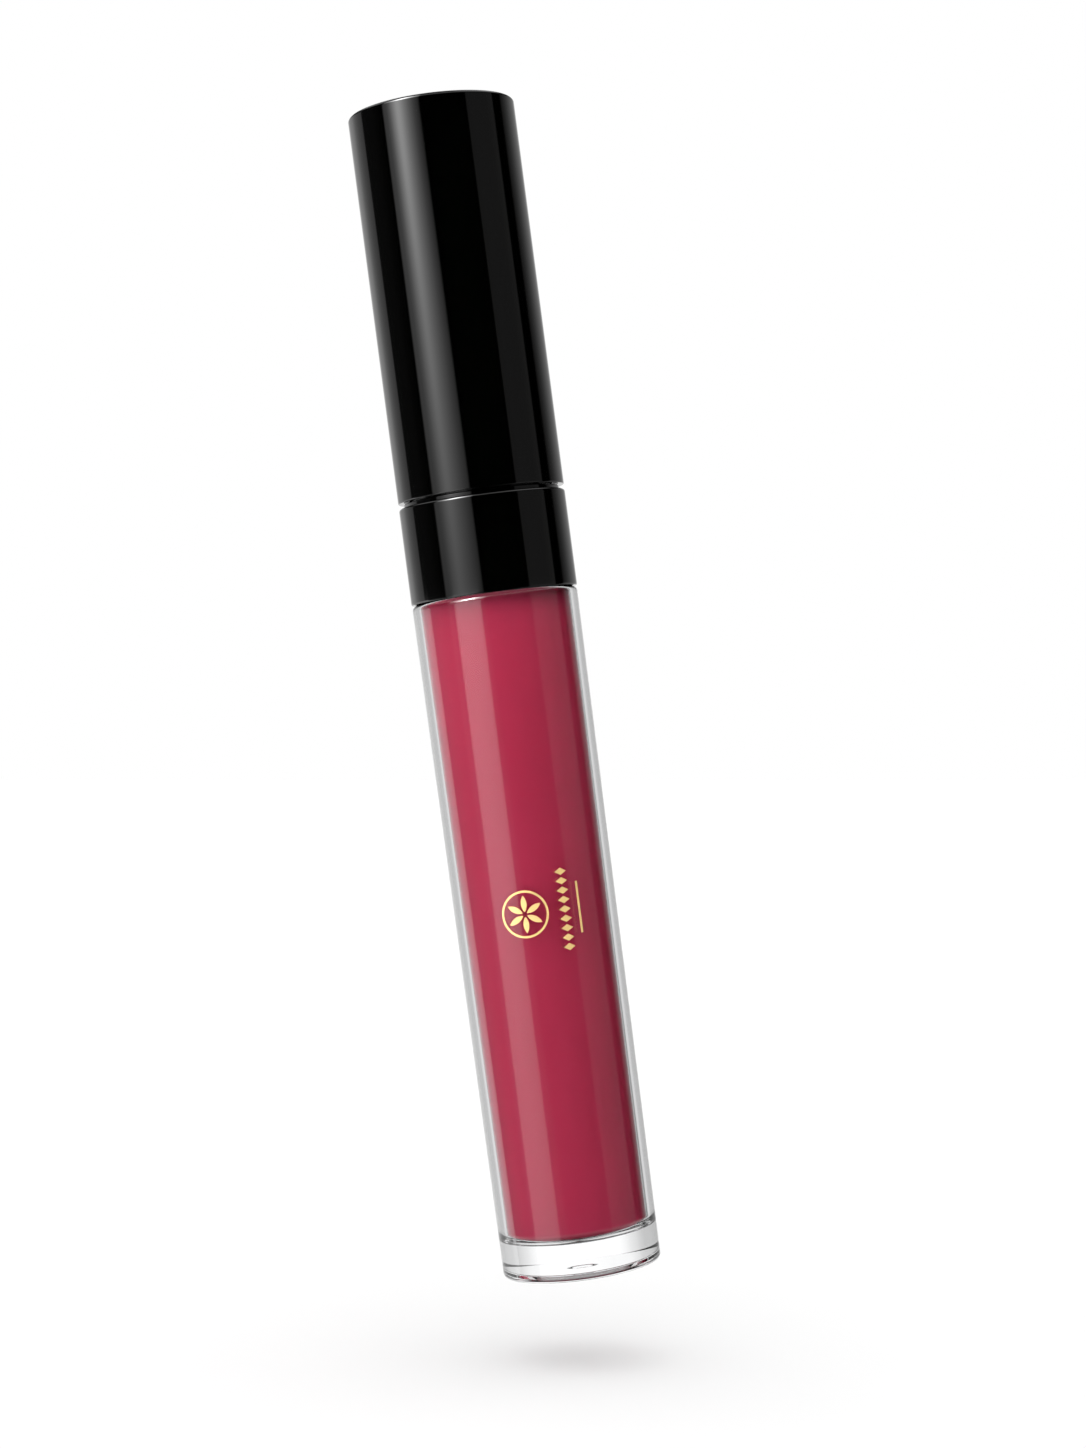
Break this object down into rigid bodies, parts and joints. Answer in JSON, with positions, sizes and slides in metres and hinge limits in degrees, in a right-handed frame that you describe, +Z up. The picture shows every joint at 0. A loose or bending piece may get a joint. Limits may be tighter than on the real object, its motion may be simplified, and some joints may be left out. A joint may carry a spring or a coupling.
{
  "type": "lip gloss tube",
  "caption": "Slim round lip gloss tube: clear tapered shell over a filled vial, gloss black collar and a tall screw cap that carries the wand.",
  "frame": {"origin": "centre of the base, on the surface the tube stands on", "axes": "+Z up along the tube towards the cap, -Y towards the printed front, +X to the print's right"},
  "size_m": [0.0172, 0.0172, 0.12],
  "materials": {
    "clear_plastic": "clear polished plastic",
    "vial_plastic": "clear plastic",
    "lip_gloss": "wet, opaque raspberry rose",
    "wiper_plastic": "soft natural plastic",
    "black_plastic": "high-gloss black",
    "gold_foil": "hot-stamped gold foil",
    "gasket_foam": "closed-cell white foam",
    "liner_plastic": "moulded black, as from the tool",
    "stem_plastic": "smooth black",
    "applicator_plastic": "soft off-white plastic",
    "flock": "short fibre flock, wet with gloss"
  },
  "bodies": {
    "tube": {"outer_shell": "clear_plastic", "inner_vial": "vial_plastic", "gloss_fill": "lip_gloss", "wiper": "wiper_plastic", "collar": "black_plastic", "foil_rosette": "gold_foil", "foil_row": "gold_foil"},
    "film": {"gloss_film": "lip_gloss"},
    "washer": {"gasket": "gasket_foam"},
    "cap": {"cap_shell": "black_plastic", "cap_liner": "liner_plastic", "wand_stem": "stem_plastic", "applicator_core": "applicator_plastic", "applicator_flock": "flock"}
  },
  "joints": [
    {"name": "wand_pull", "type": "slide", "parent": "tube", "child": "film", "axis": [0, 0, 1], "range_m": [0, 0.09]},
    {"name": "cap_rise", "type": "slide", "parent": "film", "child": "washer", "axis": [0, 0, 1], "range_m": [0, 0.0045]},
    {"name": "cap_turn", "type": "hinge", "parent": "washer", "child": "cap", "pos_m": [0, 0, 0.0801], "axis": [0, 0, 1], "range_deg": [0, 540]}
  ],
  "couplings": [
    {"joint": "cap_rise", "follows": "cap_turn", "m_per_rad": 0.00047746}
  ]
}
